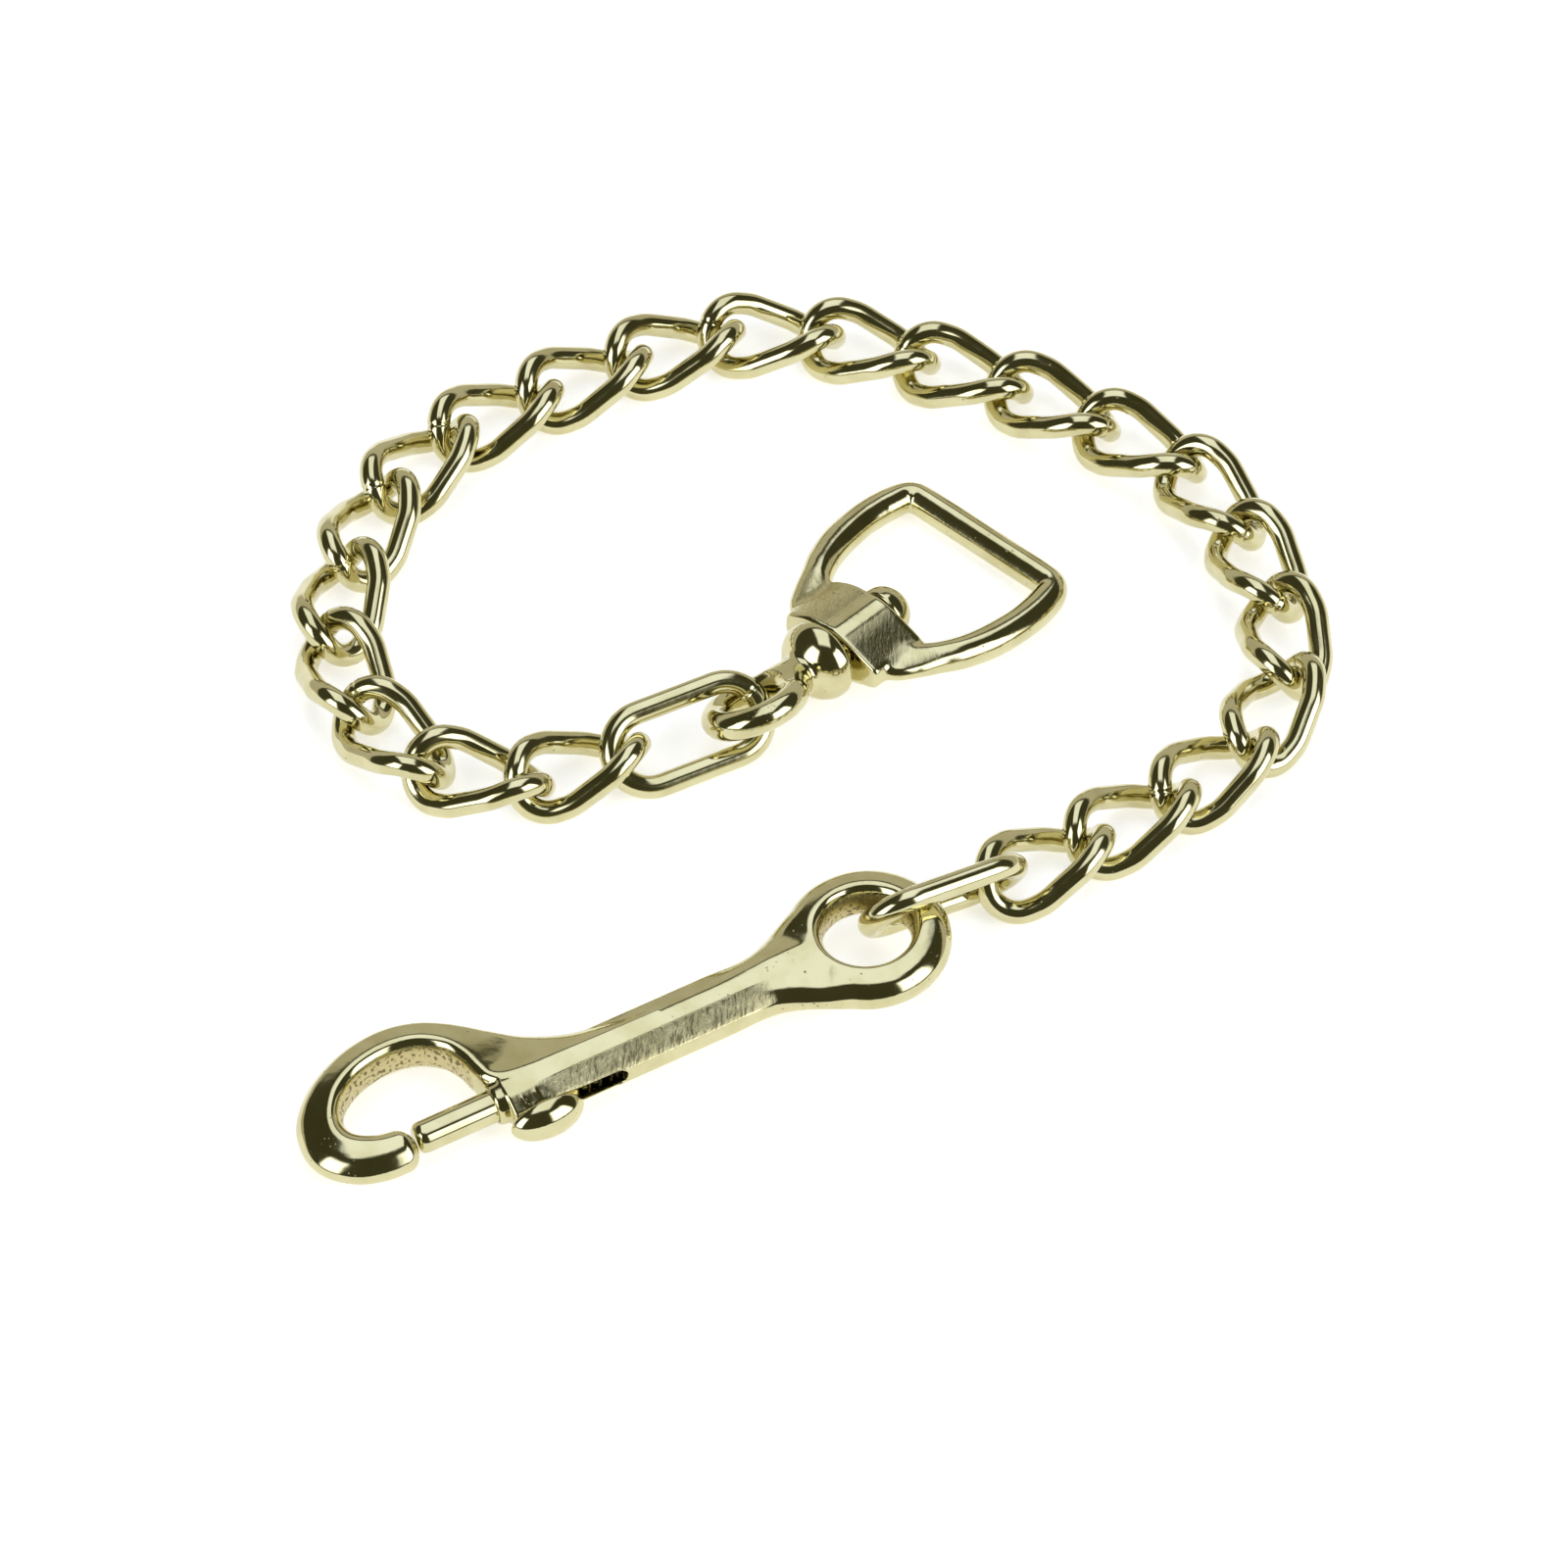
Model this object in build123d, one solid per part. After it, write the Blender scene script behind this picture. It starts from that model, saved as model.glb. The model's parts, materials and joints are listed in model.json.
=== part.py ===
from build123d import *
import math
import os

# Horse lead chain with a bolt snap, lying curled on a flat surface.
# Millimetres, +Z up. The origin is the centre of the bottom of the whole lay.
# Run of the chain: bolt snap, oval link, 22 twisted links, oval link, swivel eye, strap loop.

# ---- driving dimensions: links ----------------------------------------------------------
WIRE_R = 1.95                  # link wire radius
LINK_HALF = 10.75              # half length of a twisted link's wire centreline
BOW_HALF = 5.85                # half length of the straight edge that forms a bow
BOW_TILT = 57.0                # tilt of each bow about the link's long axis, degrees
SIDE_SHOULDER = (3.65, 5.8, 1.9)   # where a side strand starts to turn into the bow
BOW_FILLET = 4.85
SIDE_FILLET = 7.9
PITCH = 17.0                   # distance from joint to joint along the chain
LINK_Z = 5.2                   # height of a twisted link's axis above the floor

OVAL_HALF = 13.1               # half length of an oval link's wire centreline
OVAL_W = 6.2                   # half width of an oval link's wire centreline
SNAP_OVAL = dict(at=(25.2, -30.9, 8.2), heading=29.2, pitch=5.6, roll=-63.3)
SWIVEL_OVAL = dict(at=(-15.6, 5.25, 6.2), heading=24.1, pitch=-3.9, roll=37.2)

# Lay of the twisted links: where the first joint lies, and the heading of each link in
# degrees, seen from above, from the swivel end to the snap end.
CHAIN_START = (-25.7, 2.9)
HEADINGS = [-154, -191, -228, -252, -279, -289, -308, -328, -331, -338, -361,
            -379, -383, -391, -394, -419, -431, -444, -475, -499, -506, -508]

# ---- driving dimensions: bolt snap (local x runs from the hook to the eye) ------------------
SNAP_EYE_AT = (13.1, -40.1, 8.3)
SNAP_HEADING = 28.2
SNAP_PITCH = 2.65              # the eye end is propped up by the oval link
BARREL_HALF_W = 5.2
BARREL_HALF_H = 3.6
TOP_FACET = 1.9                # half width of the flat on top of the barrel
SIDE_FACET = 1.6               # half height of the flat on the side of the barrel
MOUTH_X = -64.5                # end of the octagonal barrel
NOSE_X = -66.5                 # end of the round nose that the bolt comes out of
NOSE_R = 3.5
NECK_X = -24.0                 # where the barrel starts to widen into the eye
NECK_FLARE = [                 # (x, side corner, top corner) of the neck's sections
    (-16.5, (6.2, 1.5), (3.0, 3.5)),
    (-11.0, (8.6, 1.4), (4.6, 3.5)),
    (-7.5, (10.2, 1.3), (5.4, 3.4)),
]
EYE_R = 10.2
EYE_WIRE_R = 3.2
HOOK_HALF_W = 3.4
HOOK_HALF_H = 3.7
HOOK_CENTRE = (-78.5, 5.0)
HOOK_R = 13.4
WEB_OUTLINE = [(-72.5, 15.5), (-70.0, 19.4), (-65.0, 16.6), (-60.0, 12.6), (-55.0, 8.8),
               (-50.0, 6.2), (-45.0, 4.5), (-45.0, 0.0), (-66.0, 0.0), (-67.2, 6.0),
               (-69.0, 12.0)]
WEB_HALF_H = 2.8               # half thickness of the plate between hook and barrel
TIP_X = -80.3
TIP_Y = -1.2
TIP_R = 6.2
BOLT_R = 2.6
BOLT_CLEARANCE = 0.08
BOLT_TIP_X = -79.7
BOLT_TAIL_X = -52.0
BORE_END_X = -28.0
SLOT_X = (-61.9, -45.1)
SLOT_HALF = 1.6
STEM_R = 1.4
STEM_X = -60.3
KNOB_BASE_Y = -5.6
KNOB_SIZE = (6.3, 3.7, 3.8)    # half length, height and half width of the thumb knob
SPRING_R = 2.0
SPRING_WIRE_R = 0.3
SPRING_TURNS = 12

# ---- driving dimensions: swivel (local x runs from the eye to the strap bar) ----------------
SWIVEL_AT = (-4.7, 9.3, 8.5)
SWIVEL_HEADING = 48.0
SWIVEL_PITCH = 5.6             # the bar end lies lower than the ring end
RING_R = 6.8
RING_WIRE_R = 2.4
RING_ROLL = -33.0              # the near side of the ring is the higher one
FLANGE_R = 6.9
FLANGE_X = (9.8, 15.6, 17.0)   # neck end, rim and back of the bell shaped flange
NECK_R = 3.2
POST_R = 3.2
POST_CLEARANCE = 0.1
HEAD_R = 4.6
HEAD_X = (30.4, 35.9)
COLLAR_X = (18.3, 30.2)
COLLAR_CROWN = (1.8, 4.8)      # half width and height of the collar's crown
COLLAR_SIDE = (9.6, 2.0)       # half width and half height at the collar's sides
ARM_SECTION = (2.9, 2.7)       # half width and half thickness of the loop's arms
ARM_ROOT = (21.5, 7.3)
ARM_KNEE = (25.2, 10.9)
ARM_SHOULDER = (36.6, 17.6)
BAR_CORNER = (56.9, 17.0)
KNEE_FILLET = 6.0
ARM_FILLET = 24.0
BAR_FILLET = 3.4


def frame_at(at, heading, pitch=0.0, roll=0.0):
    """Place of a local frame: heading about Z, then pitch about Y, then roll about X."""
    return Pos(*at) * Rot(0, 0, heading) * Rot(0, pitch, 0) * Rot(roll, 0, 0)


SNAP = frame_at(SNAP_EYE_AT, SNAP_HEADING, -SNAP_PITCH)
SWIVEL = frame_at(SWIVEL_AT, SWIVEL_HEADING, SWIVEL_PITCH)


def sweep_round(path, radius):
    """Round wire along a path."""
    return sweep(Plane(origin=path @ 0, z_dir=path % 0) * Circle(radius), path=path)


def sweep_oval(path, half_w, half_h):
    """Oval bar along a path that lies in the local XY plane."""
    tangent = path % 0
    across = Vector(-tangent.Y, tangent.X, 0)
    section = Plane(origin=path @ 0, x_dir=across, z_dir=tangent) * Ellipse(half_w, half_h)
    return sweep(section, path=path)


def section_yz(x, quadrant):
    """Flat polygon in the plane at x, from its corners in the first (y, z) quadrant."""
    ring = list(quadrant)
    ring += [(-y, z) for y, z in reversed(quadrant)]
    ring += [(-y, -z) for y, z in quadrant]
    ring += [(y, -z) for y, z in reversed(quadrant)]
    plane = Plane(origin=(x, 0, 0), x_dir=(0, 1, 0), z_dir=(1, 0, 0))
    return plane * make_face(Polyline(*ring, close=True))


def twisted_link():
    """One curb link: a closed round wire whose two bows are tilted opposite ways."""
    tilt = math.radians(BOW_TILT)
    bow = (-LINK_HALF, BOW_HALF * math.cos(tilt), BOW_HALF * math.sin(tilt))
    side = (-SIDE_SHOULDER[0], SIDE_SHOULDER[1], SIDE_SHOULDER[2])
    corners = [(-LINK_HALF, 0, 0), bow, side, (-side[0], side[1], -side[2]),
               (-bow[0], bow[1], -bow[2]), (LINK_HALF, 0, 0)]
    radii = [BOW_FILLET, SIDE_FILLET, SIDE_FILLET, BOW_FILLET]
    half = sweep_round(FilletPolyline(*corners, radius=radii), WIRE_R)
    return half + Rot(180, 0, 0) * half


def oval_link():
    """One straight oval link in its local XY plane."""
    straight = OVAL_HALF - OVAL_W
    path = Line((-straight, OVAL_W), (straight, OVAL_W))
    path += RadiusArc((straight, OVAL_W), (straight, -OVAL_W), OVAL_W)
    path += Line((straight, -OVAL_W), (-straight, -OVAL_W))
    path += RadiusArc((-straight, -OVAL_W), (-straight, OVAL_W), OVAL_W)
    return sweep_round(Wire(path.edges()), WIRE_R)


def hook_path():
    """Centreline of the hook, from its tip round to where it runs into the barrel."""
    cx, cy = HOOK_CENTRE
    low = Line((TIP_X, TIP_Y), (cx - HOOK_R + TIP_R, TIP_Y))
    heel = JernArc(low @ 1, low % 1, TIP_R, -90)
    crown = JernArc(heel @ 1, heel % 1, HOOK_R, -130)
    web = Line(crown @ 1, (crown @ 1) + (crown % 1) * 17.0)
    return Wire((low + heel + crown + web).edges())


def snap_body():
    """Cast body: hook, octagonal barrel with its bore and slot, and fixed eye."""
    octagon = [(BARREL_HALF_W, SIDE_FACET), (TOP_FACET, BARREL_HALF_H)]
    body = extrude(section_yz(MOUTH_X, octagon), NECK_X - MOUTH_X)
    body += Pos(NOSE_X, 0, 0) * Rot(0, 90, 0) * Cylinder(
        NOSE_R, 4, align=(Align.CENTER, Align.CENTER, Align.MIN))
    flare = [section_yz(x, corners) for x, *corners in NECK_FLARE]
    body += loft([section_yz(NECK_X, octagon)] + flare, ruled=True)
    body += sweep_oval(hook_path(), HOOK_HALF_W, HOOK_HALF_H)
    body += extrude(make_face(Polyline(*WEB_OUTLINE, close=True)), WEB_HALF_H, both=True)
    body -= Cylinder(EYE_R - 0.5, 20)
    body += Torus(EYE_R, EYE_WIRE_R)
    bore = Pos(NOSE_X - 0.5, 0, 0) * Rot(0, 90, 0) * Cylinder(
        BOLT_R + BOLT_CLEARANCE, BORE_END_X - NOSE_X + 0.5,
        align=(Align.CENTER, Align.CENTER, Align.MIN))
    body -= bore
    slot_length = SLOT_X[1] - SLOT_X[0]
    slot = Pos(sum(SLOT_X) / 2, -4.0, 0) * Rot(90, 0, 0) * extrude(
        SlotOverall(slot_length, 2 * SLOT_HALF), 4.0, both=True)
    return body - slot


def snap_bolt():
    """Round spring bolt that closes the hook, with a cross hole for the knob's stem."""
    bolt = Pos(BOLT_TIP_X, 0, 0) * Rot(0, 90, 0) * Cylinder(
        BOLT_R, BOLT_TAIL_X - BOLT_TIP_X, align=(Align.CENTER, Align.CENTER, Align.MIN))
    bolt = chamfer(bolt.faces().sort_by(Axis.X)[0].edges(), 0.7)
    return bolt - knob_stem()


def knob_stem():
    """Stem from inside the bolt to the back of the knob."""
    return Pos(STEM_X, KNOB_BASE_Y, 0) * Rot(-90, 0, 0) * Cylinder(
        STEM_R, -KNOB_BASE_Y - 0.4, align=(Align.CENTER, Align.CENTER, Align.MIN))


def thumb_knob():
    """Oval domed thumb piece on its stem."""
    dome = scale(Sphere(1), by=KNOB_SIZE)
    dome = Pos(STEM_X + 0.6, KNOB_BASE_Y, 0) * split(dome, Plane.XZ, keep=Keep.TOP)
    return dome + knob_stem()


def bolt_spring():
    """Compression spring between the bolt's tail and the bottom of the bore."""
    length = BORE_END_X - BOLT_TAIL_X - 2 * SPRING_WIRE_R - 0.2
    coil = Helix(pitch=length / SPRING_TURNS, height=length, radius=SPRING_R)
    wire = sweep(Plane(origin=coil @ 0, z_dir=coil % 0) * Circle(SPRING_WIRE_R), path=coil,
                 is_frenet=True)
    return Pos(BOLT_TAIL_X + SPRING_WIRE_R + 0.1, 0, 0) * Rot(0, 90, 0) * wire


def swivel_eye():
    """Ring, bell shaped flange, post and riveted head in one turned and cast piece."""
    ring = Rot(RING_ROLL, 0, 0) * Torus(RING_R, RING_WIRE_R)
    neck, rim, back = FLANGE_X
    profile = [(RING_R, 0), (RING_R, NECK_R), (neck, NECK_R),
               (neck + 1.6, FLANGE_R * 0.72), (rim - 1.2, FLANGE_R * 0.95), (rim, FLANGE_R),
               (back, FLANGE_R - 0.6), (back, POST_R), (HEAD_X[0], POST_R),
               (HEAD_X[0], HEAD_R - 0.3), (HEAD_X[0] + 1.4, HEAD_R),
               (HEAD_X[0] + 3.4, HEAD_R * 0.8), (HEAD_X[1], HEAD_R * 0.4), (HEAD_X[1], 0)]
    turned = revolve(make_face(Polyline(*profile, close=True)), Axis.X, 360)
    return ring + turned


def strap_loop():
    """Loop for the strap: arched collar, two bowed arms and a straight bar."""
    corners = [ARM_ROOT, ARM_KNEE, ARM_SHOULDER, BAR_CORNER]
    corners += [(x, -y) for x, y in reversed(corners)]
    radii = [KNEE_FILLET, ARM_FILLET, BAR_FILLET]
    radii += reversed(radii)
    loop = sweep_oval(FilletPolyline(*corners, radius=radii), *ARM_SECTION)
    collar = extrude(section_yz(COLLAR_X[0], [COLLAR_SIDE, COLLAR_CROWN]),
                     COLLAR_X[1] - COLLAR_X[0])
    bore = Pos(COLLAR_X[0] - 1, 0, 0) * Rot(0, 90, 0) * Cylinder(
        POST_R + POST_CLEARANCE, COLLAR_X[1] - COLLAR_X[0] + 2,
        align=(Align.CENTER, Align.CENTER, Align.MIN))
    return loop + collar - bore


def chain_joints():
    """Points where neighbouring twisted links cross, from the swivel end to the snap end."""
    x, y = CHAIN_START
    points = [(x, y)]
    for heading in HEADINGS:
        x += PITCH * math.cos(math.radians(heading))
        y += PITCH * math.sin(math.radians(heading))
        points.append((x, y))
    return points


def lay_out():
    """Every piece by name, in the lay's own frame before it is centred."""
    pieces = {
        "snap_body": SNAP * snap_body(),
        "snap_bolt": SNAP * snap_bolt(),
        "thumb_knob": SNAP * thumb_knob(),
        "bolt_spring": SNAP * bolt_spring(),
        "oval_link_snap_end": frame_at(**SNAP_OVAL) * oval_link(),
        "oval_link_swivel_end": frame_at(**SWIVEL_OVAL) * oval_link(),
        "swivel_eye": SWIVEL * swivel_eye(),
        "strap_loop": SWIVEL * strap_loop(),
    }
    joints = chain_joints()
    link = twisted_link()
    for number, heading in enumerate(HEADINGS, start=1):
        x0, y0 = joints[number - 1]
        x1, y1 = joints[number]
        place = frame_at(((x0 + x1) / 2, (y0 + y1) / 2, LINK_Z), heading)
        pieces[f"twist_link_{number:02d}"] = place * link
    return pieces


def centring(pieces):
    """Shift that puts the origin at the centre of the bottom of the bounding box."""
    boxes = [piece.bounding_box() for piece in pieces.values()]
    low = [min(getattr(box.min, axis) for box in boxes) for axis in "XYZ"]
    high = [max(getattr(box.max, axis) for box in boxes) for axis in "XYZ"]
    return (-(low[0] + high[0]) / 2, -(low[1] + high[1]) / 2, -low[2])


def main():
    os.makedirs("parts", exist_ok=True)
    pieces = lay_out()
    shift = centring(pieces)
    print("shift", shift)
    for name, piece in pieces.items():
        export_step(Pos(*shift) * piece, f"parts/{name}.step")


if __name__ == "__main__":
    main()
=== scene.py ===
"""Looks for the horse lead chain: bright brass plate on cast, turned and bent wire pieces.

Every shape is made in the local frame of the CAD piece that it stands for, in millimetres,
and is then put into the row frame in metres.
"""
import json
import math

import bpy
import numpy as np
import openvdb
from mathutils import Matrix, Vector
from mathutils.kdtree import KDTree


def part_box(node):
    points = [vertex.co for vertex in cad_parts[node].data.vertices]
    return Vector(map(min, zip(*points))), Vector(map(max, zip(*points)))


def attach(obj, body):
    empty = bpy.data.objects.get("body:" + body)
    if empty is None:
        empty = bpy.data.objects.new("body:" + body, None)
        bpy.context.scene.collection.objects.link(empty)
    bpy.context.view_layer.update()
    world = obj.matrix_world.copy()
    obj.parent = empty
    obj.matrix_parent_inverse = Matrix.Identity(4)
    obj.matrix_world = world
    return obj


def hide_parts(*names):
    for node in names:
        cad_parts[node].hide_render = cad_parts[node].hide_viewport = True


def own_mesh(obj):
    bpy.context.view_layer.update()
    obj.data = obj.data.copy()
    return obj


MM = 0.001
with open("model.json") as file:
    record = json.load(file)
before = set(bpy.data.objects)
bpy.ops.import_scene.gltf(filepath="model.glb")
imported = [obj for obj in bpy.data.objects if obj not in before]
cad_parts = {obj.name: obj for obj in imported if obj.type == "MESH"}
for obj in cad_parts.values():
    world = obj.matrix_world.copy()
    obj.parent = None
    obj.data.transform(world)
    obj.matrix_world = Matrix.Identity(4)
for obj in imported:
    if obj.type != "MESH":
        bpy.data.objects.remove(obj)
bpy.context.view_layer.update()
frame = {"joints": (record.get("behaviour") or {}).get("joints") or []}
joints = {joint["name"]: joint for joint in frame["joints"]}

# ---- camera and room ------------------------------------------------------------------------
CAMERA_ELEVATION = 48.5
CAMERA_DISTANCE = 1198.0           # mm, from the point on the floor at the middle of the view
LOOK_AT = (-4.44, -9.64, 0.0)      # mm, that point
HALF_VIEW = 800 / 7545             # half the view's width over its distance
SENSOR = 36.0
DARK_ROOM = (0.056, 0.056, 0.029)  # light from wherever there is no soft box
TOP_LIGHT = (1.18, 1.26, 1.47)
TOP_OVER = (74, 138)               # degrees up from the front and over to the back
TOP_X = (-0.31, 0.34)
BACK_LIGHT = (0.55, 0.53, 0.49)
BACK_OVER = (147, 185)
SIDE_LIGHT = (2.9, 3.0, 3.3)
SIDE_AZIMUTHS = ((40, 82), (-66, -34))
SIDE_HEIGHT = (7, 48)
FLOOR_HALF = 3.0                   # m
FLOOR_GLOW = 0.56

# ---- links ----------------------------------------------------------------------------------
WIRE_R = 1.95
LINK_HALF = 10.75
BOW_HALF = 5.85
BOW_TILT = 57.0
SIDE_SHOULDER = (3.65, 5.8, 1.9)
BOW_FILLET = 4.85
SIDE_FILLET = 7.9
LINK_COUNT = 22
OVAL_HALF = 13.1
OVAL_W = 6.2
OVAL_POSES = {                     # heading, pitch and roll, in degrees, as in the CAD
    "oval_link_snap_end": (29.2, 5.6, -63.3),
    "oval_link_swivel_end": (24.1, -3.9, 37.2),
}

# ---- bolt snap (local x runs from the hook to the eye, y to the far side) -----------------------
EYE_R = 10.2
EYE_HALF_W = 3.2
BARREL_HALF_W = 5.2
BARREL_HALF_H = 3.6
TOP_FACET = 1.5
SIDE_FACET = 1.8
NEAR_DROP = 0.35                   # how much steeper the near facet starts at the mouth
MOUTH_X = -64.5
NOSE_X = -66.5
NOSE_R = 3.5
FACET_SLOPE = (BARREL_HALF_H - SIDE_FACET) / (BARREL_HALF_W - TOP_FACET)
FACE_SLOPE = 0.27                  # fall of the hook's and the eye's face from crest to outer rim
FACE_CREST = 0.5                   # rounding of the crest
RIM_R = (3.2, 1.7)                 # rounding of the hook's outer rim, near side and far side
INNER_R = (3.0, 1.7)               # rounding of the hook's inner edge, near side and far side
EYE_RIM_R = 2.6
EYE_INNER_R = 1.8
EYE_TOP = 3.62
END_R = 2.4
MARK_DEPTH = 0.04                  # tool marks on the barrel's near facet
BOLT_R = 2.6
BORE_R = 2.68
BORE_END_X = -28.0
SLOT_X = (-61.9, -45.1)
SLOT_HALF = 1.6
BOLT_X = (-79.7, -52.0)            # nose and tail
STEM_X = -60.3
STEM_R = 1.4
STEM_Y = (-6.0, -0.8)
KNOB_BASE_Y = -5.6
KNOB_SIZE = (6.3, 3.7, 3.8)
SPRING_X = (-51.6, -28.4)
SPRING_R = 2.0
SPRING_WIRE_R = 0.3
SPRING_TURNS = 12

HOOK_OUTER = [(-36, 5.2), (-40, 5.25), (-45, 5.6), (-50, 6.5), (-55, 9.0), (-60, 12.8), (-65, 17.0),
              (-70, 20.0), (-76, 21.3), (-83, 20.2), (-90, 16.6), (-94.6, 11.5), (-96, 6.0),
              (-95, 1.3), (-91.3, -2.6), (-86.5, -4.4), (-82, -4.6), (-80.2, -4.6)]
HOOK_INNER = [(-60.0, -1.0), (-64.0, 0.6), (-66.4, 3.0), (-67.2, 5.8), (-67.8, 9.0), (-69.3, 12.0),
              (-72.5, 14.4), (-77, 15.1), (-82, 14.0), (-86, 11.4), (-88.0, 8.0), (-87.6, 5.0),
              (-84.9, 3.0), (-82.2, 2.4), (-80.4, 2.5)]
NECK_NEAR = [(-34, 5.2), (-29, 5.2), (-24, 5.25), (-20, 5.6), (-17, 6.3), (-14.5, 7.3), (-11.5, 8.9),
             (-8.25, 10.56)]
EYE_ARC = 128.0                    # the neck meets the eye this far round, in degrees

# ---- swivel (local x runs from the ring's centre to the strap bar) ------------------------------
RING_R = 6.8
RING_WIRE_R = 2.4
RING_ROLL = -33.0
BELL_R = 6.9
BELL_LENGTH = 5.2                  # from where its dome would close to its rim
BELL_X = (15.6, 17.0)              # rim and back
POST_R = 3.2
POST_X = (14.5, 32.5)
NECK_R = 3.4
NECK_X = (6.0, 13.0)
HEAD_R = 4.6
HEAD_X = (30.4, 35.9)
COLLAR_X = (18.3, 30.2)
COLLAR_CROWN = (1.8, 4.8)
COLLAR_SIDE = (9.6, 2.0)
COLLAR_BULGE = 0.5                 # rounding of its far shoulder
COLLAR_BORE = 3.3
LOOP_EDGE = 2.85
LOOP_HALF_H = 2.7
LOOP_OUTER = [(20.4, 0), (20.4, 8.8), (21.6, 11.8), (25, 14.0), (29, 15.9), (33, 17.9), (39, 19.7),
              (46, 20.3), (52, 19.9), (56.4, 18.6), (58.9, 16.2), (59.6, 12.4), (59.6, 0)]
LOOP_INNER = [(27.5, 0), (27.5, 6.5), (29.8, 9.6), (33, 11.9), (38, 13.6), (45, 14.6), (50, 14.5)]
BAR_INNER_X = 54.2
BAR_INNER_Y = 13.9

# ---- boxes that the cast and turned shapes lie in, and the size of their mesh's cells ------------
SNAP_BOX = ((-97.5, -14.5, -4.6), (14.5, 22.5, 4.6))
BOLT_BOX = ((-80.5, -3.2, -3.2), (-51.0, 3.2, 3.2))
KNOB_BOX = ((-67.0, -10.0, -4.6), (-52.5, 0.0, 4.6))
RING_BOX = ((-9.8, -9.8, -7.6), (36.6, 9.8, 7.6))
LOOP_BOX = ((17.6, -21.2, -5.4), (60.4, 21.2, 5.4))
CELL = 0.22
SMALL_CELL = 0.2

# ---- colours -------------------------------------------------------------------------------------
LIGHT_BRASS = (0.65, 0.60, 0.345)
DEEP_BRASS = (0.57, 0.515, 0.27)
AMBER = (0.60, 0.51, 0.25)         # amber painted shade on steep inner walls and the collar's far shoulder, where the cast metal is also rough and pitted
GRIME = (0.16, 0.12, 0.05)         # in pits and scratches
# spring wire colours, darkened far below steel as painted shade of the bore
SHADED_STEEL_LIGHT = (0.16, 0.15, 0.12)
SHADED_STEEL_DARK = (0.09, 0.085, 0.07)
FLOOR_COLOUR = (0.95, 0.95, 0.95)
SCRATCH_TURN = math.radians(-20)


# ---- frames and small helpers --------------------------------------------------------------------
def unit(v):
    """Vector of length one."""
    v = np.asarray(v, float)
    return v / np.linalg.norm(v)


def level_axes(x_axis):
    """Axes whose x is the one given and whose y lies level."""
    x = unit(x_axis)
    y = unit(np.cross((0, 0, 1), x))
    return np.array([x, y, np.cross(x, y)])


def turned_axes(heading, pitch=0.0, roll=0.0):
    """Axes turned by heading about Z, then pitch about Y, then roll about X, in degrees."""
    h, p, r = (math.radians(a) for a in (heading, pitch, roll))
    about_z = np.array([[math.cos(h), -math.sin(h), 0], [math.sin(h), math.cos(h), 0], [0, 0, 1]])
    about_y = np.array([[math.cos(p), 0, math.sin(p)], [0, 1, 0], [-math.sin(p), 0, math.cos(p)]])
    about_x = np.array([[1, 0, 0], [0, math.cos(r), -math.sin(r)], [0, math.sin(r), math.cos(r)]])
    return (about_z @ about_y @ about_x).T


def node_centre(node):
    """Centre of a CAD node's box, in mm."""
    low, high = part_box(node)
    return np.array((low + high) / 2) / MM


def joint_place(name):
    """A joint's point, in mm."""
    return np.array(joints[name]["pos_m"]) / MM


SNAP_AXES = level_axes(joints["bolt_slide"]["axis"])
SNAP_AT = joint_place("eye_link_lift") - EYE_R * unit([*SNAP_AXES[0][:2], 0])
SWIVEL_AXES = level_axes(joints["loop_swivel"]["axis"])
SWIVEL_AT = joint_place("loop_swivel")


def smoothstep(value, low, high):
    """0 below low, 1 above high, smooth between."""
    t = np.clip((value - low) / (high - low), 0, 1)
    return t * t * (3 - 2 * t)


def soft_max(a, b, k):
    """Intersection with an edge rounded over k."""
    h = np.maximum(k - np.abs(a - b), 0) / k
    return np.maximum(a, b) + h * h * k / 4


def soft_min(a, b, k):
    """Union with a fillet of about k."""
    return -soft_max(-a, -b, k)


def past(value, ends):
    """Distance past the ends of a stretch, negative between them."""
    return np.abs(value - (ends[0] + ends[1]) / 2) - (ends[1] - ends[0]) / 2


def resample(points, step):
    """Even points along an open or closed run of points."""
    run = np.r_[0, np.cumsum(np.linalg.norm(np.diff(points, axis=0), axis=1))]
    count = max(int(run[-1] / step), 2)
    at = np.linspace(0, run[-1], count + 1)
    return np.stack([np.interp(at, run, points[:, k]) for k in range(points.shape[1])], 1)


def smooth_curve(points, step=0.05):
    """Catmull-Rom curve through an open list of points."""
    p = np.asarray(points, float)
    p = np.vstack([2 * p[0] - p[1], p, 2 * p[-1] - p[-2]])
    t = np.linspace(0, 1, 60, endpoint=False)[:, None]
    out = []
    for a, b, c, d in zip(p, p[1:], p[2:], p[3:]):
        out.append(0.5 * (2 * b + (c - a) * t + (2 * a - 5 * b + 4 * c - d) * t * t
                          + (3 * b - a - 3 * c + d) * t ** 3))
    return resample(np.vstack(out + [p[-2][None]]), step)


def mirrored(points):
    """A half outline joined to its mirror image across y = 0."""
    return np.vstack([points, (points * (1, -1))[::-1]])


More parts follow.
